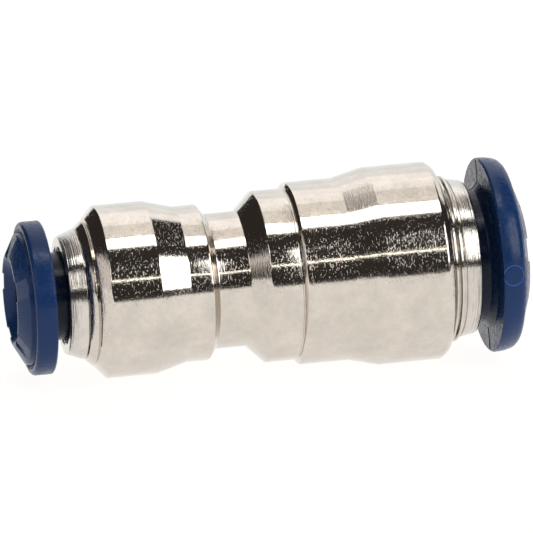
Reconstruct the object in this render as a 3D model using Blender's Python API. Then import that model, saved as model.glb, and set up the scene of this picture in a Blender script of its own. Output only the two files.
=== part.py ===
"""Straight reducing push to connect fitting, 4 mm tube to 6 mm tube.

Metres, +Z up. The axis lies along X with the 4 mm port at -X, and the origin is the middle of the
fitting's length. Sizes are in millimetres until they become vertices.
"""

import math
from types import SimpleNamespace

import bmesh
import bpy
from mathutils import Matrix

MM = 0.001
TURN_STEPS = 50  # flats round every turned or moulded piece, a multiple of the crown's slots
ROUND_STEPS = 3  # flats in the flange's rounded front
SEAL_STEPS = 10  # flats round the section of a seal ring
SHARP_DEG = 12.0  # more than one flat to the next, less than the shallowest taper
AXIS = (1.0, 0.0, 0.0)

# Clearances shared by both ports.
TUBE_GAP = 0.06  # round the tube, in the button and in the body's socket
PRESS_GAP = 0.02  # round a pressed-in piece
SEAT_GAP = 0.03  # between two pieces stacked along the axis
SLIDE_GAP = 0.10  # round the button's stem and its catch bead
STOP_GAP = 0.10  # left under the flange when the button is fully pressed
NECK_IN_MOUTH = 0.30  # how far the button's neck reaches into the collar at rest

# Collars, buttons, rings and seals: the sizes that both ports share.
LIP_START = -0.15  # from the body's end face, positive into the body
LIP_LENGTH = 0.65
BEAD_HEIGHT = 0.20
BEAD_LENGTH = 0.50
TOOTH_TIP_SHARE = 0.6  # of the strip's thickness left at the bevelled tooth tips
TOOTH_BITE = 0.08  # how far the tooth tips and the seal reach inside the tube's radius
SEAL_BITE = 0.10
RING_REACH = 0.75  # flat rim of the grip ring, measured inwards from its edge
CROWN_SLOTS = 5
CROWN_LAND = 0.20
SLOT_DEPTH = 0.18  # of the crown's slots, at the crown's outer edge
SLOT_TOP_DEPTH = 0.08  # where a slot reaches the crown's top
SLOT_RUN_OUT = 0.2  # share of the slot's depth left at the crown's base
CREVICE_DEPTH = 0.22  # of the ring groove between the flange's front and the crown
SMALL_CHAMFER = 0.10

# The 4 mm port.
SMALL = SimpleNamespace(
    tube_radius=2.0,
    stem_wall=0.69,
    neck_extra=0.0,
    mouth_gap=0.30,
    flare=0.10,
    spigot_wall=0.45,
    spigot_length=2.85,
    seam=0.10,
    head_length=1.05,
    face_wall=0.60,
    gland_step=0.19,
    ring_thickness=0.25,
    tooth_depth=0.65,
    teeth=8,
    tooth_gap=0.35,
    backing_length=1.25,
    flange_gap=1.00,
    flange_reach=2.08,
    flange_thickness=1.34,
    rim_length=0.86,
    front_land=0.62,
    crown_wall=0.24,
    crown_height=0.90,
    funnel=0.66,
    slot_width=1.25,
    slot_start_deg=155.2,
)

# The 6 mm port.
LARGE = SimpleNamespace(
    tube_radius=3.0,
    stem_wall=0.90,
    neck_extra=0.24,
    mouth_gap=0.10,
    flare=0.45,
    spigot_wall=0.47,
    spigot_length=3.30,
    seam=0.20,
    head_length=1.42,
    face_wall=0.61,
    gland_step=0.22,
    ring_thickness=0.30,
    tooth_depth=0.80,
    teeth=10,
    tooth_gap=0.45,
    backing_length=1.45,
    flange_gap=1.08,
    flange_reach=1.96,
    flange_thickness=1.50,
    rim_length=1.22,
    front_land=0.85,
    crown_wall=0.12,
    crown_height=0.72,
    funnel=0.38,
    slot_width=1.45,
    slot_start_deg=20.0,
)

# The body, from the 4 mm end face to the 6 mm end face. Walls are measured out from that port's bore.
SMALL_CONE_LENGTH = 0.42
SMALL_CONE_WALL = 1.04
GROOVE_WIDTH = 0.20
GROOVE_DEPTH = 0.07
GROOVE_STEP = 0.14  # the groove's far edge stands this much higher than its near one
SMALL_RISE_LENGTH = 0.65
SMALL_BARREL_WALL = 1.92
SMALL_BARREL_LENGTH = 3.13
SMALL_TAPER_LENGTH = 1.92
SMALL_WAIST_WALL = 1.39
SMALL_WAIST_LENGTH = 1.40
NECK_FALL_LENGTH = 0.47
NECK_WALL = 0.74
NECK_LENGTH = 2.04
NECK_RISE_LENGTH = 1.14
SHOULDER_WALL = 0.66
SHOULDER_LENGTH = 1.95
STEP_GROOVE_WIDTH = 0.12
STEP_WALL = 1.01
STEP_LENGTH = 3.18
LARGE_TAPER_LENGTH = 1.95
LARGE_BARREL_WALL = 1.50
LARGE_BARREL_LENGTH = 3.90
LARGE_CHAMFER_LENGTH = 0.62
CHAMFER_BREAK = 0.55  # the chamfer is in two steps: this share of its length, then the steeper rest
CHAMFER_BREAK_FALL = 0.28
FACE_LIP_LENGTH = 0.13
THROUGH_RADIUS = 1.30
WEB_LENGTH = 4.0  # between the two tube stops

# The 6 mm collar's head: a shoulder ring, a groove, then the plain head.
SHOULDER_RING_LENGTH = 0.17
SHOULDER_RING_INSET = 0.11
HEAD_GROOVE_LENGTH = 0.24
HEAD_GROOVE_WALL = 0.12
HEAD_WALL = 0.24
NOSE_WALL = 0.20  # the 4 mm collar's nose, at its outer end


def work_out_port(port):
    """Adds the radii and the depths that follow from a port's own sizes and the shared clearances."""
    port.bore = port.tube_radius + TUBE_GAP
    port.stem = port.bore + port.stem_wall
    port.neck = port.stem + port.neck_extra
    port.lip = port.stem + SLIDE_GAP
    port.bead = port.stem + BEAD_HEIGHT
    port.chamber = port.bead + SLIDE_GAP
    port.spigot = port.chamber + port.spigot_wall
    port.mouth = port.neck + port.mouth_gap
    port.body_bore = port.spigot + PRESS_GAP
    port.face = port.body_bore + port.face_wall
    port.gland = port.body_bore - port.gland_step
    port.seal_inner = port.tube_radius - SEAL_BITE
    port.seal_section = port.gland - SEAT_GAP - port.seal_inner
    port.head_end = -port.seam - port.head_length
    port.ring_start = port.spigot_length + SEAT_GAP
    port.backing_start = port.ring_start + port.ring_thickness + SEAT_GAP
    port.gland_start = port.backing_start + port.backing_length + SEAT_GAP
    port.gland_end = port.gland_start + port.seal_section + 2 * SEAT_GAP
    port.bead_start = LIP_START + LIP_LENGTH + SEAT_GAP
    port.travel = port.flange_gap - STOP_GAP
    port.flange_back = port.head_end - port.flange_gap
    port.flange_front = port.flange_back - port.flange_thickness
    port.crown_top = port.flange_front - port.crown_height
    port.rim = port.neck + port.flange_reach


def outer_steps():
    """The body's outline as (distance from the 4 mm end face, radius), end face to end face."""
    small, large = SMALL.body_bore, LARGE.body_bore
    moves = [
        (0.0, SMALL.face),
        (SMALL_CONE_LENGTH, small + SMALL_CONE_WALL),
        (GROOVE_WIDTH / 2, small + SMALL_CONE_WALL - GROOVE_DEPTH),
        (GROOVE_WIDTH / 2, small + SMALL_CONE_WALL + GROOVE_STEP),
        (SMALL_RISE_LENGTH, small + SMALL_BARREL_WALL),
        (SMALL_BARREL_LENGTH, small + SMALL_BARREL_WALL),
        (SMALL_TAPER_LENGTH, small + SMALL_WAIST_WALL),
        (SMALL_WAIST_LENGTH, small + SMALL_WAIST_WALL),
        (NECK_FALL_LENGTH, small + NECK_WALL),
        (NECK_LENGTH, small + NECK_WALL),
        (NECK_RISE_LENGTH, large + SHOULDER_WALL),
        (SHOULDER_LENGTH, large + SHOULDER_WALL),
        (0.0, large + SHOULDER_WALL - GROOVE_DEPTH),
        (STEP_GROOVE_WIDTH, large + SHOULDER_WALL - GROOVE_DEPTH),
        (0.0, large + STEP_WALL - GROOVE_DEPTH),
        (GROOVE_DEPTH, large + STEP_WALL),
        (STEP_LENGTH - GROOVE_DEPTH, large + STEP_WALL),
        (LARGE_TAPER_LENGTH, large + LARGE_BARREL_WALL),
        (LARGE_BARREL_LENGTH, large + LARGE_BARREL_WALL),
    ]
    fall = LARGE_BARREL_WALL - LARGE.face_wall
    moves += [
        (LARGE_CHAMFER_LENGTH * CHAMFER_BREAK, large + LARGE_BARREL_WALL - fall * CHAMFER_BREAK_FALL),
        (LARGE_CHAMFER_LENGTH * (1 - CHAMFER_BREAK), large + LARGE.face_wall),
        (FACE_LIP_LENGTH, LARGE.face),
    ]
    at, outline = 0.0, []
    for length, radius in moves:
        at += length
        outline.append((at, radius))
    return outline


def stop_distances(outline):
    """How far each tube stop lies from its own end face: the web starts at the middle of the neck."""
    lengths_to_neck = [
        SMALL_CONE_LENGTH,
        GROOVE_WIDTH,
        SMALL_RISE_LENGTH,
        SMALL_BARREL_LENGTH,
        SMALL_TAPER_LENGTH,
        SMALL_WAIST_LENGTH,
        NECK_FALL_LENGTH,
        NECK_LENGTH / 2,
    ]
    small_stop = sum(lengths_to_neck)
    return small_stop, outline[-1][0] - small_stop - WEB_LENGTH


def material(name, colour, metallic, roughness):
    made = bpy.data.materials.new(name)
    made.use_nodes = True
    shader = made.node_tree.nodes["Principled BSDF"]
    shader.inputs["Base Color"].default_value = (*colour, 1.0)
    shader.inputs["Metallic"].default_value = metallic
    shader.inputs["Roughness"].default_value = roughness
    return made


def add_object(name, mesh_builder, look):
    """Links a mesh object made from a bmesh, with its normals facing out and its round faces smooth."""
    bmesh.ops.recalc_face_normals(mesh_builder, faces=mesh_builder.faces[:])
    mesh = bpy.data.meshes.new(name)
    mesh_builder.to_mesh(mesh)
    mesh_builder.free()
    obj = bpy.data.objects.new(name, mesh)
    bpy.context.collection.objects.link(obj)
    mesh.materials.append(look)
    mesh.shade_smooth()
    mesh.set_sharp_from_angle(angle=math.radians(SHARP_DEG))
    return obj


def turned(name, profile, look):
    """A piece turned from a closed profile of (x, radius) points, spun about the X axis."""
    builder = bmesh.new()
    points = [builder.verts.new((x * MM, radius * MM, 0.0)) for x, radius in profile]
    edges = [builder.edges.new((a, b)) for a, b in zip(points, points[1:] + points[:1])]
    bmesh.ops.spin(
        builder,
        geom=points + edges,
        cent=(0.0, 0.0, 0.0),
        axis=AXIS,
        angle=2 * math.pi,
        steps=TURN_STEPS,
        use_merge=True,
    )
    return add_object(name, builder, look)


def cut(obj, cutter):
    cutter.hide_render = True
    cutter.display_type = "WIRE"
    difference = obj.modifiers.new("cut by " + cutter.name, "BOOLEAN")
    difference.operation = "DIFFERENCE"
    difference.solver = "EXACT"
    difference.object = cutter


def star_of_blades(name, count, width, side, start_deg, look):
    """Blades set like spokes round the X axis, as a cutter. Their side is drawn in (x, radius) points."""
    builder = bmesh.new()
    for index in range(count):
        turn = Matrix.Rotation(math.radians(start_deg + 360 * index / count), 4, "X")
        left = [builder.verts.new((x * MM, radius * MM, -width / 2 * MM)) for x, radius in side]
        blade = bmesh.ops.extrude_face_region(builder, geom=[builder.faces.new(left)])
        right = [item for item in blade["geom"] if isinstance(item, bmesh.types.BMVert)]
        bmesh.ops.translate(builder, vec=(0.0, 0.0, width * MM), verts=right)
        bmesh.ops.transform(builder, matrix=turn, verts=left + right)
    return add_object(name, builder, look)


def make_body(frame, outline, stops, look):
    """The turned body: its outline, then the stepped bore back from the 6 mm port to the 4 mm port."""
    small_stop, large_stop = stops
    profile = [(frame.small_face + at, radius) for at, radius in outline]
    large = [
        (0.0, LARGE.body_bore + SMALL_CHAMFER),
        (SMALL_CHAMFER, LARGE.body_bore),
        (LARGE.gland_start, LARGE.body_bore),
        (LARGE.gland_start, LARGE.gland),
        (LARGE.gland_end, LARGE.gland),
        (LARGE.gland_end, LARGE.bore + SMALL_CHAMFER),
        (LARGE.gland_end + SMALL_CHAMFER, LARGE.bore),
        (large_stop, LARGE.bore),
        (large_stop, THROUGH_RADIUS),
    ]
    small = [
        (small_stop, THROUGH_RADIUS),
        (small_stop, SMALL.bore),
        (SMALL.gland_end + SMALL_CHAMFER, SMALL.bore),
        (SMALL.gland_end, SMALL.bore + SMALL_CHAMFER),
        (SMALL.gland_end, SMALL.gland),
        (SMALL.gland_start, SMALL.gland),
        (SMALL.gland_start, SMALL.body_bore),
        (SMALL_CHAMFER, SMALL.body_bore),
        (0.0, SMALL.body_bore + SMALL_CHAMFER),
    ]
    profile += [(frame.large_face - depth, radius) for depth, radius in large]
    profile += [(frame.small_face + depth, radius) for depth, radius in small]
    return turned("fitting_body", profile, look)


def collar_head(port):
    """The part of a collar that stands out of the body, from the seam to the mouth."""
    if port is SMALL:
        return [(-port.seam, port.face), (port.head_end, port.spigot + NOSE_WALL)]
    ring = port.face - SHOULDER_RING_INSET
    ring_end = -port.seam - SHOULDER_RING_LENGTH
    groove = port.spigot + HEAD_GROOVE_WALL
    head = port.spigot + HEAD_WALL
    return [
        (-port.seam, ring),
        (ring_end, ring),
        (ring_end, groove),
        (ring_end - HEAD_GROOVE_LENGTH, groove),
        (ring_end - HEAD_GROOVE_LENGTH, head),
        (port.head_end + SMALL_CHAMFER, head),
        (port.head_end, head - SMALL_CHAMFER),
    ]


def make_collar(name, port, place, look):
    """The pressed-in collar: head, spigot, the chamber for the button's bead, and the lip that stops it."""
    lip_end = LIP_START + LIP_LENGTH
    profile = [
        *collar_head(port),
        (port.head_end, port.mouth + port.flare),
        (port.head_end + port.flare, port.mouth),
        (LIP_START, port.mouth),
        (LIP_START, port.lip),
        (lip_end, port.lip),
        (lip_end, port.chamber),
        (port.spigot_length, port.chamber),
        (port.spigot_length, port.spigot),
        (-port.seam, port.spigot),
    ]
    return turned(name, [(place(d), radius) for d, radius in profile], look)


def tooth_line(port, radius):
    """How deep the teeth's outer face lies at this radius: it slopes from the flat rim to the tips."""
    bend = port.spigot - RING_REACH
    tip = port.tube_radius - TOOTH_BITE
    return port.ring_start + port.tooth_depth * max(0.0, (bend - radius) / (bend - tip))


def rounded_front(start, outer, end, inner):
    """A quarter of an ellipse from the rim, at (start, outer), to the flange's front, at (end, inner)."""
    points = []
    for step in range(ROUND_STEPS + 1):
        angle = math.pi / 2 * step / ROUND_STEPS
        at = start + (end - start) * math.sin(angle)
        points.append((at, inner + (outer - inner) * math.cos(angle)))
    return points


def make_button(name, port, place, look):
    """The release button: flange, slotted crown and stem, whose bevelled end opens the teeth."""
    nose_outer = port.stem - SMALL_CHAMFER
    nose_deep = tooth_line(port, port.bore) - port.travel - SEAT_GAP
    nose_shallow = tooth_line(port, nose_outer) - port.travel - SEAT_GAP
    bead_end = port.bead_start + BEAD_LENGTH
    neck_end = port.head_end + NECK_IN_MOUTH
    rim_front = port.flange_back - port.rim_length
    crown_base = port.rim - port.front_land
    crown_edge = port.flange_front - port.crown_wall
    crown_top = port.bore + port.funnel + CROWN_LAND
    middle = (port.rim + crown_base) / 2
    profile = [
        (nose_deep, port.bore),
        (nose_shallow, nose_outer),
        (nose_shallow - SMALL_CHAMFER, port.stem),
        (bead_end, port.stem),
        (bead_end - BEAD_HEIGHT, port.bead),
        (port.bead_start, port.bead),
        (port.bead_start, port.stem),
        (neck_end + SMALL_CHAMFER, port.stem),
        (neck_end, port.neck),
        (port.flange_back + port.flare, port.neck),
        (port.flange_back, port.neck + port.flare),
        (port.flange_back, port.rim - SMALL_CHAMFER),
        (port.flange_back - SMALL_CHAMFER, port.rim),
        *rounded_front(rim_front, port.rim, port.flange_front, middle),
        (port.flange_front, crown_base + CREVICE_DEPTH),
        (port.flange_front + CREVICE_DEPTH, crown_base + CREVICE_DEPTH / 2),
        (port.flange_front + CREVICE_DEPTH, crown_base),
        (crown_edge, crown_base - SMALL_CHAMFER),
        (port.crown_top, crown_top),
        (port.crown_top, crown_top - CROWN_LAND),
        (port.crown_top + port.funnel, port.bore),
    ]
    button = turned(name, [(place(d), radius) for d, radius in profile], look)
    slot_side = [
        (crown_edge + SLOT_DEPTH, port.rim),
        (crown_edge + SLOT_DEPTH * SLOT_RUN_OUT, crown_base),
        (port.crown_top + SLOT_TOP_DEPTH, crown_top - CROWN_LAND / 2),
        (port.crown_top + SLOT_TOP_DEPTH, port.bore / 2),
        (port.crown_top - SLOT_DEPTH, port.bore / 2),
        (port.crown_top - SLOT_DEPTH, port.rim),
    ]
    blades = star_of_blades(
        name + "_slot_cutter",
        CROWN_SLOTS,
        port.slot_width,
        [(place(d), radius) for d, radius in slot_side],
        port.slot_start_deg,
        look,
    )
    cut(button, blades)
    return button


def make_grip_ring(name, port, place, look):
    """The toothed ring: a flat rim and a cone of teeth that leans away from the mouth."""
    edge = port.spigot
    bend = edge - RING_REACH
    tip = port.tube_radius - TOOTH_BITE
    thick = port.ring_thickness
    front, depth = port.ring_start, port.tooth_depth
    profile = [
        (front, edge),
        (front + thick, edge),
        (front + thick, bend),
        (front + depth + thick * TOOTH_TIP_SHARE, tip),
        (front + depth, tip),
        (front, bend),
    ]
    ring = turned(name, [(place(d), radius) for d, radius in profile], look)
    beyond = depth + thick * 2
    gap_side = [
        (front - thick, tip / 2),
        (front - thick, bend + port.tooth_gap / 2),
        (front + beyond, bend + port.tooth_gap / 2),
        (front + beyond, tip / 2),
    ]
    blades = star_of_blades(
        name + "_gap_cutter",
        port.teeth,
        port.tooth_gap,
        [(place(d), radius) for d, radius in gap_side],
        180 / port.teeth,
        look,
    )
    cut(ring, blades)
    return ring


def make_backing_ring(name, port, place, look):
    """The ring behind the teeth: its cone lets them lean back, and its flat end shuts the gland."""
    start, end = port.backing_start, port.backing_start + port.backing_length
    bend = port.spigot - RING_REACH
    cone_end = port.ring_start + port.tooth_depth + port.ring_thickness + SEAT_GAP
    profile = [
        (start, port.spigot),
        (end, port.spigot),
        (end, port.bore),
        (cone_end, port.bore),
        (start, bend + SLIDE_GAP),
    ]
    return turned(name, [(place(d), radius) for d, radius in profile], look)


def make_seal_ring(name, port, place, look):
    """The rubber ring in its gland, as a ring of round section."""
    section = port.seal_section / 2
    middle_radius = port.seal_inner + section
    middle = (port.gland_start + port.gland_end) / 2
    profile = []
    for index in range(SEAL_STEPS):
        angle = 2 * math.pi * index / SEAL_STEPS
        at = middle + section * math.cos(angle)
        profile.append((place(at), middle_radius + section * math.sin(angle)))
    return turned(name, profile, look)


def make_port(prefix, port, place, looks):
    make_collar(prefix + "_collar", port, place, looks.plated)
    make_button(prefix + "_release_button", port, place, looks.blue)
    make_grip_ring(prefix + "_grip_ring", port, place, looks.stainless)
    make_backing_ring(prefix + "_backing_ring", port, place, looks.brass)
    make_seal_ring(prefix + "_seal_ring", port, place, looks.rubber)


def main():
    for obj in list(bpy.data.objects):
        bpy.data.objects.remove(obj, do_unlink=True)
    work_out_port(SMALL)
    work_out_port(LARGE)
    outline = outer_steps()
    length = outline[-1][0]
    frame = SimpleNamespace()
    frame.small_face = (LARGE.crown_top - SMALL.crown_top - length) / 2
    frame.large_face = frame.small_face + length
    looks = SimpleNamespace(
        body=material("plated_body", (0.74, 0.70, 0.65), 1.0, 0.22),
        plated=material("plated_collar", (0.74, 0.71, 0.66), 1.0, 0.26),
        blue=material("blue_plastic", (0.02, 0.06, 0.20), 0.0, 0.35),
        stainless=material("stainless_spring", (0.60, 0.60, 0.60), 1.0, 0.30),
        brass=material("plain_brass", (0.72, 0.52, 0.24), 1.0, 0.35),
        rubber=material("black_rubber", (0.02, 0.02, 0.02), 0.0, 0.60),
    )
    make_body(frame, outline, stop_distances(outline), looks.body)
    make_port("small", SMALL, lambda depth: frame.small_face + depth, looks)
    make_port("large", LARGE, lambda depth: frame.large_face - depth, looks)


main()
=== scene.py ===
import math
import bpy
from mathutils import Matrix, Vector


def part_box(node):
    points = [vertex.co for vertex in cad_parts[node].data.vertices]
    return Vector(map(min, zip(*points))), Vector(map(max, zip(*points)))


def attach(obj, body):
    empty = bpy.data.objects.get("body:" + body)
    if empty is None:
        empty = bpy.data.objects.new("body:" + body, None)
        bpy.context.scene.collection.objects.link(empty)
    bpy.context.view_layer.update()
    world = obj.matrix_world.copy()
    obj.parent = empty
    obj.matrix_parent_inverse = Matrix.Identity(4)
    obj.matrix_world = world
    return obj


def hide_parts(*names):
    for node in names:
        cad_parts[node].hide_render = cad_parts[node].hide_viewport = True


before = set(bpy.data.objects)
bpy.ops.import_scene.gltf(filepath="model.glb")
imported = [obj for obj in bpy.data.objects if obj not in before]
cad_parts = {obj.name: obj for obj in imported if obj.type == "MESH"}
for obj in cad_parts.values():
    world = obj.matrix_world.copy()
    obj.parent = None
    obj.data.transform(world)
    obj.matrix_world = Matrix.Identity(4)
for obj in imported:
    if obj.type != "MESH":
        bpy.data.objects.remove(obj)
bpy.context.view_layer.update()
from types import SimpleNamespace
import bpy
from mathutils import Matrix, Vector

MM = 0.001

# Table and camera. The fitting lies on a pale table, on its two barrels, so that its axis rises a
# little towards the thick port. The fitting's own axis is level here, so the table is tilted instead.
TABLE_TILT = math.radians(2.68)
TABLE_TOUCH = (0.0066, 0.0, -0.00625)
TABLE_SIZE = 8.0
TABLE_COLOUR = (0.09, 0.088, 0.086, 1.0)
TABLE_GLOW = (1.0, 0.985, 0.965, 1.0)
VIEW_AZIMUTH = math.radians(11.25)
VIEW_ELEVATION = math.radians(14.5)
VIEW_AIM = Vector((0.000095, 0.0, 0.0))
VIEW_LIFT = 0.00058
CAMERA_DISTANCE = 0.500
VIEW_WIDTH = 0.0335
SENSOR = 36.0

table = Matrix.Rotation(TABLE_TILT, 4, "Y")
bpy.ops.object.select_all(action="DESELECT")
bpy.ops.mesh.primitive_plane_add(size=TABLE_SIZE, location=TABLE_TOUCH, rotation=(0.0, TABLE_TILT, 0.0))
floor = bpy.context.active_object
floor.name = "table"
paint = bpy.data.materials.new("pale_table")
paint.use_nodes = True
paint_shader = paint.node_tree.nodes["Principled BSDF"]
paint_shader.inputs["Base Color"].default_value = TABLE_COLOUR
paint_shader.inputs["Roughness"].default_value = 0.9
paint_shader.inputs["Emission Color"].default_value = TABLE_GLOW
paint_shader.inputs["Emission Strength"].default_value = 0.95
floor.data.materials.append(paint)

back = table.to_3x3() @ Vector((
    -math.sin(VIEW_AZIMUTH) * math.cos(VIEW_ELEVATION),
    -math.cos(VIEW_AZIMUTH) * math.cos(VIEW_ELEVATION),
    math.sin(VIEW_ELEVATION),
))
right = table.to_3x3() @ Vector((math.cos(VIEW_AZIMUTH), -math.sin(VIEW_AZIMUTH), 0.0))
above = back.cross(right)
camera_data = bpy.data.cameras.new("camera")
camera = bpy.data.objects.new("camera", camera_data)
bpy.context.collection.objects.link(camera)
turn = Matrix((right, above, back)).transposed()
place = Matrix.Translation(VIEW_AIM + above * VIEW_LIFT + back * CAMERA_DISTANCE)
camera.matrix_world = place @ turn.to_4x4()
camera_data.sensor_width = SENSOR
camera_data.lens = SENSOR * CAMERA_DISTANCE / VIEW_WIDTH
camera_data.clip_start = 0.05
camera_data.clip_end = 20.0
bpy.context.scene.camera = camera

# Studio lights. Four softboxes hang over the fitting, the brightest a narrow strip on the viewer's side.
# A pale backdrop stands behind it and to its right, two bright softboxes stand in front, and a dim one
# on the left. The room between them is dark, and the polished metal shows that as dark bands.
ROOM = (0.034, 0.029, 0.026, 1.0)
BACKGROUND = (1.0, 1.0, 1.0, 1.0)
CEILING = 0.5
DOWN = (0.0, 0.0, 0.0)
FORWARD = (math.radians(-90), 0.0, 0.0)
BACKDROP = 0.6
BACKDROP_MIDDLE = 0.53
BACKDROP_WIDTH = 1.34


def softbox(name, middle, turned_by, width, height, brightness, colour):
    """A rectangle of light, brightness being how bright its own face looks."""
    data = bpy.data.lights.new(name, "AREA")
    data.shape = "RECTANGLE"
    data.size = width
    data.size_y = height
    data.energy = brightness * math.pi * width * height
    data.color = colour
    box = bpy.data.objects.new(name, data)
    bpy.context.collection.objects.link(box)
    box.location = middle
    box.rotation_euler = turned_by
    box.visible_camera = False


def facing(middle):
    """The turn that points a softbox at the fitting."""
    return (-Vector(middle)).to_track_quat("-Z", "Y").to_euler()


# Each hanging softbox is (name, x, y, width, height, brightness, colour).
for name, x, y, width, height, brightness, colour in [
    ("strip_light", 0.015, -0.094, 0.35, 0.137, 4.5, (1.0, 0.99, 0.97)),
    ("beige_light", 0.07, 0.084, 0.24, 0.192, 1.07, (1.0, 0.96, 0.91)),
    ("warm_light", 0.07, 0.266, 0.24, 0.168, 1.40, (1.0, 0.98, 0.96)),
    ("grey_light", -0.14, 0.165, 0.18, 0.37, 0.30, (1.0, 0.97, 0.97)),
]:
    softbox(name, (x, y, CEILING), DOWN, width, height, brightness, colour)
# The backdrop's three panels, as (bottom, top, brightness, colour).
for number, (bottom, top, brightness, colour) in enumerate([
    (0.0, 0.255, 1.00, (0.94, 1.0, 1.0)),
    (0.255, 0.50, 1.12, (0.98, 0.98, 1.0)),
    (0.50, 0.857, 1.36, (1.0, 0.99, 0.99)),
]):
    middle = (BACKDROP_MIDDLE, BACKDROP, (bottom + top) / 2)
    softbox(f"backdrop_light_{number}", middle, FORWARD, BACKDROP_WIDTH, top - bottom, brightness, colour)
# Each standing softbox is (name, middle, width, height, brightness, colour), and faces the fitting. The
# last is the thin lamp that draws one bright line along the barrels.
for name, middle, width, height, brightness, colour in [
    ("right_light", (0.445, -0.437, 0.300), 0.38, 0.46, 4.8, (1.0, 1.0, 1.0)),
    ("left_light", (-0.68, 0.02, 0.13), 0.40, 0.30, 0.82, (1.0, 0.96, 0.95)),
    ("front_light", (-0.44, -0.36, 0.36), 0.22, 0.34, 2.2, (1.0, 0.99, 0.97)),
    ("line_light", (-0.02, -0.535, 0.272), 0.62, 0.009, 7.0, (1.0, 0.97, 0.88)),
]:
    softbox(name, middle, facing(middle), width, height, brightness, colour)

world = bpy.data.worlds.new("studio")
world.use_nodes = True
world_nodes = world.node_tree.nodes
world_links = world.node_tree.links
room = world_nodes["Background"]
room.inputs["Color"].default_value = ROOM
seen = world_nodes.new("ShaderNodeBackground")
seen.inputs["Color"].default_value = BACKGROUND
rays = world_nodes.new("ShaderNodeLightPath")
either = world_nodes.new("ShaderNodeMixShader")
world_links.new(rays.outputs["Is Camera Ray"], either.inputs[0])
world_links.new(room.outputs[0], either.inputs[1])
world_links.new(seen.outputs[0], either.inputs[2])
world_links.new(either.outputs[0], world_nodes["World Output"].inputs["Surface"])
bpy.context.scene.world = world
bpy.context.scene.view_settings.view_transform = "Standard"

# Body. One brass bar turned on a lathe and bored from both ends, then nickel plated: a barrel and a
# waist for the thin port, a neck, and a cone, a step and a gentler cone up to the thick port's barrel.
TURN_STEPS = 192
ROUNDING_STEPS = 3
# A point belongs to a corner within this many millimetres, and points this many metres apart are one.
CORNER_REACH = 0.002
MERGE_DISTANCE = 1e-7
# Edges bent by more degrees than this stay sharp.
SHARP_ANGLE = 34
FLATS_WEIGHT = 90
# Each outline corner is (length from the corner before, radius, rounding), in millimetres.
BODY_OUTLINE = [
    (0.00, 4.12, 0.03),
    (0.42, 4.56, 0.03),
    (0.10, 4.49, 0.00),
    (0.10, 4.70, 0.02),
    (0.65, 5.44, 0.06),
    (3.13, 5.44, 0.05),
    (1.92, 4.91, 0.05),
    (1.40, 4.91, 0.06),
    (0.47, 4.26, 0.05),
    (2.04, 4.26, 0.05),
    (1.14, 5.41, 0.07),
    (1.90, 5.41, 0.03),
    (0.03, 5.35, 0.00),
    (0.06, 5.35, 0.00),
    (0.16, 5.70, 0.00),
    (0.07, 5.76, 0.03),
    (3.03, 5.76, 0.02),
    (1.95, 6.25, 0.02),
    (3.90, 6.25, 0.08),
    (0.341, 6.0008, 0.05),
    (0.279, 5.36, 0.03),
    (0.13, 5.36, 0.03),
]
# The bores, as (depth from that port's face, radius, rounding).
LARGE_BORE = [
    (0.00, 4.85, 0.02),
    (0.10, 4.75, 0.02),
    (5.14, 4.75, 0.00),
    (5.14, 4.53, 0.00),
    (6.80, 4.53, 0.00),
    (6.80, 3.16, 0.03),
    (6.90, 3.06, 0.03),
    (10.01, 3.06, 0.03),
    (10.01, 1.30, 0.06),
]
SMALL_BORE = [
    (9.21, 1.30, 0.06),
    (9.21, 2.06, 0.03),
    (6.00, 2.06, 0.03),
    (5.90, 2.16, 0.03),
    (5.90, 3.33, 0.00),
    (4.44, 3.33, 0.00),
    (4.44, 3.52, 0.00),
    (0.10, 3.52, 0.02),
    (0.00, 3.62, 0.02),
]
small_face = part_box("fitting_body")[0].x / MM
large_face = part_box("fitting_body")[1].x / MM


def draw_outline(name, corners):
    """Draws a closed outline with rounded corners in the XZ plane, and stays in edit mode."""
    first = Vector((corners[0][0], 0.0, corners[0][1])) * MM
    bpy.ops.object.select_all(action="DESELECT")
    bpy.ops.mesh.primitive_plane_add(size=MM, location=first)
    piece = bpy.context.active_object
    piece.name = name
    bpy.ops.object.transform_apply(location=True, rotation=True, scale=True)
    bpy.ops.object.mode_set(mode="EDIT")
    bpy.ops.mesh.select_all(action="SELECT")
    bpy.ops.mesh.merge(type="CENTER")
    for (x, z, _), (next_x, next_z, _) in zip(corners, corners[1:]):
        step = ((next_x - x) * MM, 0.0, (next_z - z) * MM)
        bpy.ops.mesh.extrude_vertices_move(TRANSFORM_OT_translate={"value": step})
    select_points(piece, [corners[0], corners[-1]])
    bpy.ops.mesh.edge_face_add()
    for rounding in sorted({corner[2] for corner in corners} - {0.0}):
        select_points(piece, [corner for corner in corners if corner[2] == rounding])
        bpy.ops.mesh.bevel(
            offset=rounding * MM,
            offset_type="OFFSET",
            segments=ROUNDING_STEPS,
            affect="VERTICES",
        )
    bpy.ops.mesh.select_all(action="SELECT")
    return piece


def select_points(piece, corners):
    """Selects the outline's points that lie at these corners, and nothing else."""
    places = [Vector((x, 0.0, z)) * MM for x, z, _ in corners]
    bpy.ops.mesh.select_all(action="DESELECT")
    bpy.ops.object.mode_set(mode="OBJECT")
    for vertex in piece.data.vertices:
        vertex.select = min((vertex.co - at).length for at in places) < CORNER_REACH * MM
    bpy.ops.object.mode_set(mode="EDIT")


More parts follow.
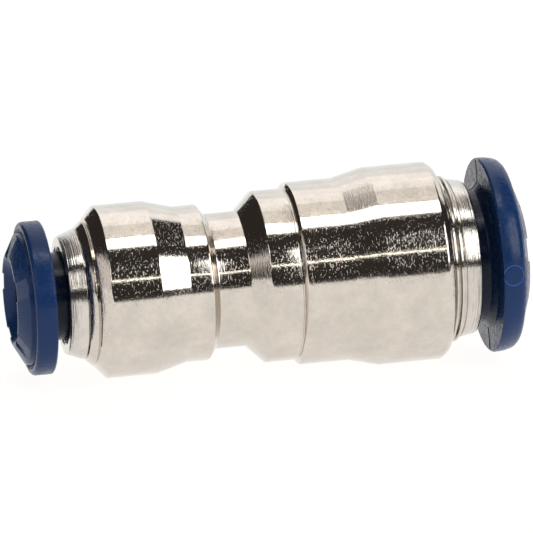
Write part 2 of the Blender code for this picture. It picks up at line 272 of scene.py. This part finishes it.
def turned_piece(name, corners):
    """A turned piece: its outline spun about the X axis and closed."""
    piece = draw_outline(name, corners)
    bpy.ops.mesh.spin(
        steps=TURN_STEPS,
        angle=2 * math.pi,
        center=(0.0, 0.0, 0.0),
        axis=(1.0, 0.0, 0.0),
        use_auto_merge=True,
    )
    bpy.ops.mesh.select_all(action="SELECT")
    bpy.ops.mesh.remove_doubles(threshold=MERGE_DISTANCE)
    bpy.ops.mesh.normals_make_consistent(inside=False)
    bpy.ops.object.mode_set(mode="OBJECT")
    return piece


def finish_piece(piece, node, body, material):
    """Smooth shading that keeps the flats flat, the material, and the piece's place in the frame."""
    bpy.ops.object.select_all(action="DESELECT")
    piece.select_set(True)
    bpy.context.view_layer.objects.active = piece
    bpy.ops.object.shade_smooth_by_angle(angle=math.radians(SHARP_ANGLE))
    flats = piece.modifiers.new("flats", "WEIGHTED_NORMAL")
    flats.weight = FLATS_WEIGHT
    flats.keep_sharp = True
    bpy.ops.object.modifier_apply(modifier=flats.name)
    piece.data.materials.clear()
    piece.data.materials.append(material)
    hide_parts(node)
    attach(piece, body)


MICRON = 1e-6
LINES_PER_METRE = 17000.0
STAIN_SHADE = 0.82
SMOOTHEST, ROUGHEST = 0.8, 1.3


def turned_metal(name, tint, roughness, line_depth, line_length, pit_depth):
    """Bright turned or plated metal. Turning lines that long run round the axis, among fine pits."""
    made = bpy.data.materials.new(name)
    made.use_nodes = True
    nodes = made.node_tree.nodes
    links = made.node_tree.links
    shader = nodes["Principled BSDF"]
    shader.inputs["Metallic"].default_value = 1.0
    shader.inputs["Anisotropic"].default_value = 0.3
    shader.inputs["Anisotropic Rotation"].default_value = 0.25
    tangent = nodes.new("ShaderNodeTangent")
    tangent.direction_type = "RADIAL"
    tangent.axis = "X"
    links.new(tangent.outputs[0], shader.inputs["Tangent"])
    where = nodes.new("ShaderNodeTexCoord")

    def noise(scale, size, detail, rough):
        """Noise of that size, in lumps per metre, stretched by the three scales."""
        mapping = nodes.new("ShaderNodeMapping")
        mapping.inputs["Scale"].default_value = scale
        links.new(where.outputs["Object"], mapping.inputs["Vector"])
        texture = nodes.new("ShaderNodeTexNoise")
        texture.inputs["Scale"].default_value = size
        texture.inputs["Detail"].default_value = detail
        texture.inputs["Roughness"].default_value = rough
        links.new(mapping.outputs["Vector"], texture.inputs["Vector"])
        return texture.outputs["Fac"]

    def ramp(value, *stops):
        """Turns a value into a colour by (place, colour) stops."""
        node = nodes.new("ShaderNodeValToRGB")
        element = node.color_ramp.elements
        while len(element) < len(stops):
            element.new(0.5)
        for item, (at, colour) in zip(element, stops):
            item.position = at
            item.color = colour
        links.new(value, node.inputs["Fac"])
        return node.outputs["Color"]

    def bump(height, depth, before=None):
        """Relief that deep, laid over the relief before it."""
        node = nodes.new("ShaderNodeBump")
        node.inputs["Distance"].default_value = depth
        links.new(height, node.inputs["Height"])
        if before:
            links.new(before, node.inputs["Normal"])
        return node.outputs["Normal"]

    stain = noise((1.0, 1.0, 1.0), size=500.0, detail=8.0, rough=0.75)
    stained = tuple(part * STAIN_SHADE for part in tint) + (1.0,)
    links.new(ramp(stain, (0.34, stained), (0.66, tint + (1.0,))), shader.inputs["Base Color"])
    polish = noise((14.0, 1.0, 1.0), size=900.0, detail=3.0, rough=0.6)
    smooth = (roughness * SMOOTHEST,) * 3 + (1.0,)
    rubbed = (roughness * ROUGHEST,) * 3 + (1.0,)
    links.new(ramp(polish, (0.3, smooth), (0.7, rubbed)), shader.inputs["Roughness"])
    stretch = (LINES_PER_METRE * line_length, 1.0, 1.0)
    lines = noise(stretch, size=1.0 / line_length, detail=2.0, rough=0.6)
    pits = noise((3.4, 1.0, 1.0), size=5200.0, detail=1.0, rough=0.5)
    pit_holes = ramp(pits, (0.62, (0.0, 0.0, 0.0, 1.0)), (0.72, (1.0, 1.0, 1.0, 1.0)))
    surface = bump(lines, line_depth)
    surface = bump(pit_holes, pit_depth, surface)
    links.new(surface, shader.inputs["Normal"])
    return made


body_nickel = turned_metal(
    "turned_nickel",
    tint=(0.70, 0.645, 0.58),
    roughness=0.10,
    line_depth=6 * MICRON,
    line_length=400 * MICRON,
    pit_depth=3 * MICRON,
)


def body_corners():
    """The body's closed outline: along the outside, then back through the two bores."""
    at, corners = small_face, []
    for length, radius, rounding in BODY_OUTLINE:
        at += length
        corners.append((at, radius, rounding))
    corners += [(large_face - depth, radius, rounding) for depth, radius, rounding in LARGE_BORE]
    corners += [(small_face + depth, radius, rounding) for depth, radius, rounding in SMALL_BORE]
    return corners


body = turned_piece("body", body_corners())
finish_piece(body, "fitting_body", "fitting", body_nickel)

# Collars. One is pressed into each end of the body, of the same plated brass. The thin port's is a
# plain cone outside. The thick port's has a shoulder ring, a groove and a tapered head. Inside, a lip
# catches the button's bead. Their outlines are (depth into the body, radius, rounding).
PORTS = [
    SimpleNamespace(
        prefix="small",
        place=lambda depth: small_face + depth,
        collar=[
            (-0.10, 4.12, 0.03),
            (-1.15, 3.70, 0.04),
            (-1.15, 3.15, 0.03),
            (-1.05, 3.05, 0.03),
            (-0.15, 3.05, 0.00),
            (-0.15, 2.85, 0.03),
            (0.50, 2.85, 0.03),
            (0.50, 3.05, 0.00),
            (2.85, 3.05, 0.03),
            (2.85, 3.50, 0.05),
            (-0.10, 3.50, 0.00),
        ],
    ),
    SimpleNamespace(
        prefix="large",
        place=lambda depth: large_face - depth,
        collar=[
            (-0.20, 5.25, 0.03),
            (-0.37, 5.25, 0.03),
            (-0.37, 4.85, 0.02),
            (-0.61, 4.85, 0.02),
            (-0.61, 5.02, 0.02),
            (-1.52, 4.87, 0.03),
            (-1.62, 4.80, 0.02),
            (-1.62, 4.75, 0.03),
            (-1.17, 4.30, 0.06),
            (-0.15, 4.30, 0.00),
            (-0.15, 4.06, 0.03),
            (0.50, 4.06, 0.03),
            (0.50, 4.26, 0.00),
            (3.30, 4.26, 0.03),
            (3.30, 4.73, 0.05),
            (-0.20, 4.73, 0.00),
        ],
    ),
]
small_port, large_port = PORTS
collar_nickel = turned_metal(
    "collar_nickel",
    tint=(0.71, 0.67, 0.62),
    roughness=0.13,
    line_depth=30 * MICRON,
    line_length=4000 * MICRON,
    pit_depth=2 * MICRON,
)


def along(port, corners):
    """An outline's depths from the port's face, turned into places along the axis."""
    return [(port.place(depth), radius, rounding) for depth, radius, rounding in corners]


for port in PORTS:
    collar = turned_piece(port.prefix + "_collar_piece", along(port, port.collar))
    finish_piece(collar, port.prefix + "_collar", "fitting", collar_nickel)

# Release buttons. Moulded in navy blue plastic: a stem with a catch bead that snaps behind the collar's
# lip, a round flange, and a low crown with five shallow slots. Pressing one opens the grip ring's teeth.
small_port.button = [
    (2.490, 2.06, 0.02),
    (2.028, 2.65, 0.02),
    (1.928, 2.75, 0.03),
    (1.03, 2.75, 0.03),
    (0.83, 2.95, 0.03),
    (0.53, 2.95, 0.03),
    (0.53, 2.75, 0.00),
    (-2.05, 2.75, 0.00),
    (-2.15, 2.85, 0.00),
    (-2.15, 4.73, 0.03),
    (-2.25, 4.83, 0.03),
    (-3.49, 4.83, 0.26),
    (-3.49, 4.43, 0.05),
    (-3.27, 4.32, 0.03),
    (-3.27, 4.21, 0.03),
    (-3.73, 4.11, 0.06),
    (-4.39, 2.92, 0.07),
    (-4.39, 2.72, 0.05),
    (-3.73, 2.06, 0.05),
]
large_port.button = [
    (3.014, 3.06, 0.02),
    (2.411, 3.86, 0.02),
    (2.311, 3.96, 0.03),
    (1.03, 3.96, 0.03),
    (0.83, 4.16, 0.03),
    (0.53, 4.16, 0.03),
    (0.53, 3.96, 0.00),
    (-1.22, 3.96, 0.00),
    (-1.32, 4.20, 0.03),
    (-2.25, 4.20, 0.10),
    (-2.70, 4.65, 0.06),
    (-2.70, 6.06, 0.03),
    (-2.80, 6.16, 0.04),
    (-3.25, 6.16, 0.20),
    (-3.95, 6.00, 0.20),
    (-4.20, 5.70, 0.12),
    (-4.20, 5.53, 0.04),
    (-3.98, 5.42, 0.03),
    (-3.98, 5.31, 0.03),
    (-4.32, 5.21, 0.06),
    (-4.92, 3.64, 0.07),
    (-4.92, 3.44, 0.05),
    (-4.54, 3.06, 0.05),
]
# The crown slots' sides, as (depth, radius). Their floors follow the crown's slope.
small_port.slot_side = [
    (-3.55, 4.83),
    (-3.69, 4.21),
    (-4.31, 2.82),
    (-4.31, 1.03),
    (-4.69, 1.03),
    (-4.69, 4.83),
]
large_port.slot_side = [
    (-4.14, 6.16),
    (-4.28, 5.31),
    (-4.84, 3.54),
    (-4.84, 1.53),
    (-5.22, 1.53),
    (-5.22, 6.16),
]
small_port.slot_width, large_port.slot_width = 1.25, 1.45
small_port.slot_start, large_port.slot_start = 155.2, 20.0
small_port.flange_back, large_port.flange_back = 2.15, 2.70
small_port.rim, large_port.rim = 4.83, 6.16
CROWN_SLOTS = 5
# An ejector pin leaves a thin raised ring on the thick port's rim.
MOULD_MARK_RADIUS = 0.675
MOULD_MARK_LINE = 0.07
MOULD_MARK_HEIGHT = 0.02
MOULD_MARK_REACH = 1.0
MOULD_MARK_MIDDLE = 6.1
MOULD_MARK_DEPTH = -3.32
MOULD_MARK_ANGLE = 178.6
MOULD_MARK_SIDES = 64
MOULD_MARK_MERGE = 1e-6
# The two halves of the thick port's mould meet in a fine line across the back of its flange.
PARTING_ANGLES = (80.0, 260.0)
PARTING_WIDTH = 0.28
PARTING_SIDE = [
    (-1.50, 4.08),
    (-2.40, 4.08),
    (-3.00, 4.68),
    (-3.00, 6.02),
    (-2.50, 6.02),
    (-2.50, 4.75),
    (-2.15, 4.40),
    (-1.50, 4.40),
]


def combine(piece, tool, operation):
    """Cuts the tool out of the piece, or joins it on, and throws the tool away."""
    bpy.ops.object.select_all(action="DESELECT")
    bpy.context.view_layer.objects.active = piece
    piece.select_set(True)
    step = piece.modifiers.new("step", "BOOLEAN")
    step.operation = operation
    step.solver = "EXACT"
    step.object = tool
    bpy.ops.object.modifier_apply(modifier=step.name)
    bpy.data.objects.remove(tool, do_unlink=True)


def blade(name, corners, width, turned_by):
    """A flat blade as thick as a slot, with its side drawn in the XZ plane, turned about the X axis."""
    tool = draw_outline(name, corners)
    bpy.ops.mesh.edge_face_add()
    bpy.ops.mesh.extrude_region_move(TRANSFORM_OT_translate={"value": (0.0, width * MM, 0.0)})
    bpy.ops.mesh.select_all(action="SELECT")
    bpy.ops.transform.translate(value=(0.0, -width / 2 * MM, 0.0))
    bpy.ops.mesh.normals_make_consistent(inside=False)
    bpy.ops.object.mode_set(mode="OBJECT")
    tool.rotation_euler.x = math.radians(turned_by)
    return tool


def mould_mark(piece, corners, x, angle):
    """Joins on the pin's ring, angle being degrees from +Y to +Z."""
    raised = [(at, radius + MOULD_MARK_HEIGHT, rounding) for at, radius, rounding in corners]
    shell = turned_piece("mark_shell", raised)
    turned = Matrix.Rotation(math.radians(angle), 3, "X")
    rings = []
    for radius in (MOULD_MARK_RADIUS, MOULD_MARK_RADIUS - MOULD_MARK_LINE):
        bpy.ops.object.select_all(action="DESELECT")
        bpy.ops.mesh.primitive_cylinder_add(
            vertices=MOULD_MARK_SIDES,
            radius=radius * MM,
            depth=MOULD_MARK_REACH * MM,
            location=turned @ (Vector((x, MOULD_MARK_MIDDLE, 0.0)) * MM),
            rotation=(math.radians(angle + 90), 0.0, 0.0),
        )
        rings.append(bpy.context.active_object)
    mark, middle = rings
    combine(mark, middle, "DIFFERENCE")
    combine(mark, shell, "INTERSECT")
    combine(piece, mark, "UNION")
    bpy.ops.object.mode_set(mode="EDIT")
    bpy.ops.mesh.select_all(action="SELECT")
    bpy.ops.mesh.remove_doubles(threshold=MOULD_MARK_MERGE)
    bpy.ops.mesh.dissolve_degenerate(threshold=MOULD_MARK_MERGE)
    bpy.ops.object.mode_set(mode="OBJECT")


THIN_NAVY = (0.0056, 0.025, 0.090)
THICK_NAVY = (0.0088, 0.034, 0.120)
SCUFF = (0.10, 0.16, 0.28, 1.0)


def blue_plastic(name, shade, grain_depth):
    """Half gloss navy plastic with the mould's grain and a few pale scuffs. Shade scales its colour."""
    made = bpy.data.materials.new(name)
    made.use_nodes = True
    nodes = made.node_tree.nodes
    links = made.node_tree.links
    shader = nodes["Principled BSDF"]
    shader.inputs["Specular IOR Level"].default_value = 0.20
    where = nodes.new("ShaderNodeTexCoord")

    def noise(size, detail):
        """Noise of that size, in lumps per metre."""
        texture = nodes.new("ShaderNodeTexNoise")
        texture.inputs["Scale"].default_value = size
        texture.inputs["Detail"].default_value = detail
        links.new(where.outputs["Object"], texture.inputs["Vector"])
        return texture.outputs["Fac"]

    def ramp(value, low, high, first, second):
        """Turns a value into a colour, from the first one at low to the second at high."""
        node = nodes.new("ShaderNodeValToRGB")
        node.color_ramp.elements[0].position = low
        node.color_ramp.elements[1].position = high
        node.color_ramp.elements[0].color = first
        node.color_ramp.elements[1].color = second
        links.new(value, node.inputs["Fac"])
        return node.outputs["Color"]

    thin = tuple(shade * part for part in THIN_NAVY) + (1.0,)
    thick = tuple(shade * part for part in THICK_NAVY) + (1.0,)
    navy = ramp(noise(size=300.0, detail=3.0), 0.3, 0.7, thin, thick)
    scuffs = ramp(noise(size=2400.0, detail=2.0), 0.74, 0.80, (0.0, 0.0, 0.0, 1.0), (1.0, 1.0, 1.0, 1.0))
    mixed = nodes.new("ShaderNodeMix")
    mixed.data_type = "RGBA"
    links.new(scuffs, mixed.inputs["Factor"])
    links.new(navy, mixed.inputs["A"])
    mixed.inputs["B"].default_value = SCUFF
    links.new(mixed.outputs["Result"], shader.inputs["Base Color"])
    sheen = noise(size=3600.0, detail=3.0)
    links.new(
        ramp(sheen, 0.35, 0.7, (0.17, 0.17, 0.17, 1.0), (0.42, 0.42, 0.42, 1.0)),
        shader.inputs["Roughness"],
    )
    peel = nodes.new("ShaderNodeBump")
    peel.inputs["Distance"].default_value = grain_depth
    links.new(noise(size=3200.0, detail=3.0), peel.inputs["Height"])
    links.new(peel.outputs["Normal"], shader.inputs["Normal"])
    return made


# The flange's back keeps its real mould grain but is painted 0.6 as bright, and the stem 0.3 as bright:
# painted shade for the shadow between the flange and the collar.
button_finishes = [
    blue_plastic("navy_button_plastic", shade=1.0, grain_depth=12 * MICRON),
    blue_plastic("grained_back_painted_shade_plastic", shade=0.6, grain_depth=50 * MICRON),
    blue_plastic("stem_painted_shade_plastic", shade=0.3, grain_depth=10 * MICRON),
    blue_plastic("pressed_mark_plastic", shade=3.2, grain_depth=12 * MICRON),
]
# A finish is told by a face's place: how near the flange's back, how far out the stem, how wide the rim.
# The back and the stem carry painted shade.
FLANGE_BACK_REACH = 0.01
STEM_REACH = 0.4
RIM_WIDTH = 0.15


def finish_of(port, place):
    """The finish of a face there: 1 the flange's grained back with painted shade, 2 the stem's painted
    shade, 3 the pin's mark, else 0.
    """
    outward = abs(place.x) - abs(port.place(0.0))
    if abs(outward - port.flange_back) < FLANGE_BACK_REACH:
        return 1
    inside_rim = math.hypot(place.y, place.z) < port.rim - RIM_WIDTH
    if outward < port.flange_back + STEM_REACH and inside_rim:
        return 2
    under_pin = Matrix.Rotation(math.radians(-MOULD_MARK_ANGLE), 3, "X") @ place
    from_pin = math.hypot(under_pin.x - large_port.place(MOULD_MARK_DEPTH), under_pin.z)
    on_line = MOULD_MARK_RADIUS - MOULD_MARK_LINE < from_pin < MOULD_MARK_RADIUS
    return 3 if on_line and under_pin.y > 0.0 else 0


for port in PORTS:
    button_outline = along(port, port.button)
    button = turned_piece(port.prefix + "_button_piece", button_outline)
    for number in range(CROWN_SLOTS):
        side = [(port.place(depth), radius, 0.0) for depth, radius in port.slot_side]
        turned_by = port.slot_start - 90 + 360 * number / CROWN_SLOTS
        combine(button, blade("slot_tool", side, port.slot_width, turned_by), "DIFFERENCE")
    if port is large_port:
        mould_mark(button, button_outline, port.place(MOULD_MARK_DEPTH), MOULD_MARK_ANGLE)
        for angle in PARTING_ANGLES:
            side = [(port.place(depth), radius, 0.0) for depth, radius in PARTING_SIDE]
            combine(button, blade("parting_tool", side, PARTING_WIDTH, angle - 90), "DIFFERENCE")
    node, body_name = port.prefix + "_release_button", port.prefix + "_button"
    finish_piece(button, node, body_name, button_finishes[0])
    for finish in button_finishes[1:]:
        button.data.materials.append(finish)
    for face in button.data.polygons:
        face.material_index = finish_of(port, face.center / MM)

# Grip rings. Stamped from thin stainless sheet: a band held between the collar and the backing ring,
# and teeth that slope inwards and bite the tube. Their outlines are (depth, radius, rounding).
small_port.grip = [
    (2.88, 3.50, 0.02),
    (3.13, 3.50, 0.02),
    (3.13, 2.75, 0.06),
    (3.68, 1.92, 0.00),
    (3.53, 1.92, 0.00),
    (2.88, 2.75, 0.06),
]
large_port.grip = [
    (3.33, 4.73, 0.02),
    (3.63, 4.73, 0.02),
    (3.63, 3.98, 0.06),
    (4.31, 2.92, 0.00),
    (4.13, 2.92, 0.00),
    (3.33, 3.98, 0.06),
]
small_port.gap_side = [(2.63, 0.96), (2.63, 2.925), (4.03, 2.925), (4.03, 0.96)]
large_port.gap_side = [(3.03, 1.46), (3.03, 4.205), (4.73, 4.205), (4.73, 1.46)]
small_port.gaps, large_port.gaps = 8, 10
small_port.gap_width, large_port.gap_width = 0.35, 0.45
small_port.gap_start, large_port.gap_start = 22.5, 18.0
spring_steel = turned_metal(
    "stainless_spring",
    tint=(0.56, 0.55, 0.53),
    roughness=0.22,
    line_depth=3 * MICRON,
    line_length=400 * MICRON,
    pit_depth=1 * MICRON,
)
for port in PORTS:
    grip = turned_piece(port.prefix + "_grip_piece", along(port, port.grip))
    for number in range(port.gaps):
        side = [(port.place(depth), radius, 0.0) for depth, radius in port.gap_side]
        turned_by = port.gap_start - 90 + 360 * number / port.gaps
        combine(grip, blade("gap_tool", side, port.gap_width, turned_by), "DIFFERENCE")
    finish_piece(grip, port.prefix + "_grip_ring", port.prefix + "_grip", spring_steel)

# Backing rings. Turned from plain brass and pushed against a step in the bore, they carry the grip
# ring on one side and close the seal's gland on the other.
small_port.backing = [
    (3.16, 3.50, 0.03),
    (4.41, 3.50, 0.03),
    (4.41, 2.06, 0.03),
    (3.81, 2.06, 0.05),
    (3.16, 2.85, 0.05),
]
large_port.backing = [
    (3.66, 4.73, 0.03),
    (5.11, 4.73, 0.03),
    (5.11, 3.06, 0.03),
    (4.46, 3.06, 0.05),
    (3.66, 4.08, 0.05),
]
plain_brass = turned_metal(
    "plain_brass",
    tint=(0.74, 0.52, 0.22),
    roughness=0.20,
    line_depth=12 * MICRON,
    line_length=4000 * MICRON,
    pit_depth=1 * MICRON,
)
for port in PORTS:
    backing = turned_piece(port.prefix + "_backing_piece", along(port, port.backing))
    finish_piece(backing, port.prefix + "_backing_ring", "fitting", plain_brass)

# Seal rings. Moulded in black nitrile rubber, round in section, with a fine line of flash where the two
# halves of the mould met. Each lies in its gland and seals on the outside of the tube.
small_port.seal = (5.17, 2.60, 0.70)
large_port.seal = (5.97, 3.70, 0.80)
SEAL_STEPS = 32
FLASH_HEIGHT = 0.015
FLASH_HALF_ANGLE = 2.5
RUBBER_GRAIN = 8 * MICRON


def black_rubber(name):
    """Matt black rubber with a fine grain and a trace of grease."""
    made = bpy.data.materials.new(name)
    made.use_nodes = True
    nodes = made.node_tree.nodes
    links = made.node_tree.links
    shader = nodes["Principled BSDF"]
    shader.inputs["Specular IOR Level"].default_value = 0.4
    where = nodes.new("ShaderNodeTexCoord")
    grease = nodes.new("ShaderNodeTexNoise")
    grease.inputs["Scale"].default_value = 500.0
    grain = nodes.new("ShaderNodeTexNoise")
    grain.inputs["Scale"].default_value = 7000.0
    for texture in (grease, grain):
        links.new(where.outputs["Object"], texture.inputs["Vector"])
    for socket, low, high in (
        ("Base Color", (0.010, 0.010, 0.011, 1.0), (0.022, 0.022, 0.023, 1.0)),
        ("Roughness", (0.28, 0.28, 0.28, 1.0), (0.60, 0.60, 0.60, 1.0)),
    ):
        node = nodes.new("ShaderNodeValToRGB")
        node.color_ramp.elements[0].color = low
        node.color_ramp.elements[1].color = high
        links.new(grease.outputs["Fac"], node.inputs["Fac"])
        links.new(node.outputs["Color"], shader.inputs[socket])
    bump = nodes.new("ShaderNodeBump")
    bump.inputs["Distance"].default_value = RUBBER_GRAIN
    links.new(grain.outputs["Fac"], bump.inputs["Height"])
    links.new(bump.outputs["Normal"], shader.inputs["Normal"])
    return made


def seal_section(depth, middle, radius):
    """A round section with a low ridge of flash at its outermost and innermost points."""
    ridges = {90.0, 270.0}
    angles = {360.0 * step / SEAL_STEPS for step in range(SEAL_STEPS)} | ridges
    angles |= {ridge + side for ridge in ridges for side in (-FLASH_HALF_ANGLE, FLASH_HALF_ANGLE)}
    section = []
    for angle in sorted(angles):
        reach = radius + (FLASH_HEIGHT if angle in ridges else 0.0)
        around = math.radians(angle)
        section.append((depth + reach * math.cos(around), middle + reach * math.sin(around), 0.0))
    return section


seal_rubber = black_rubber("black_rubber")
for port in PORTS:
    seal = turned_piece(port.prefix + "_seal_piece", along(port, seal_section(*port.seal)))
    finish_piece(seal, port.prefix + "_seal_ring", "fitting", seal_rubber)
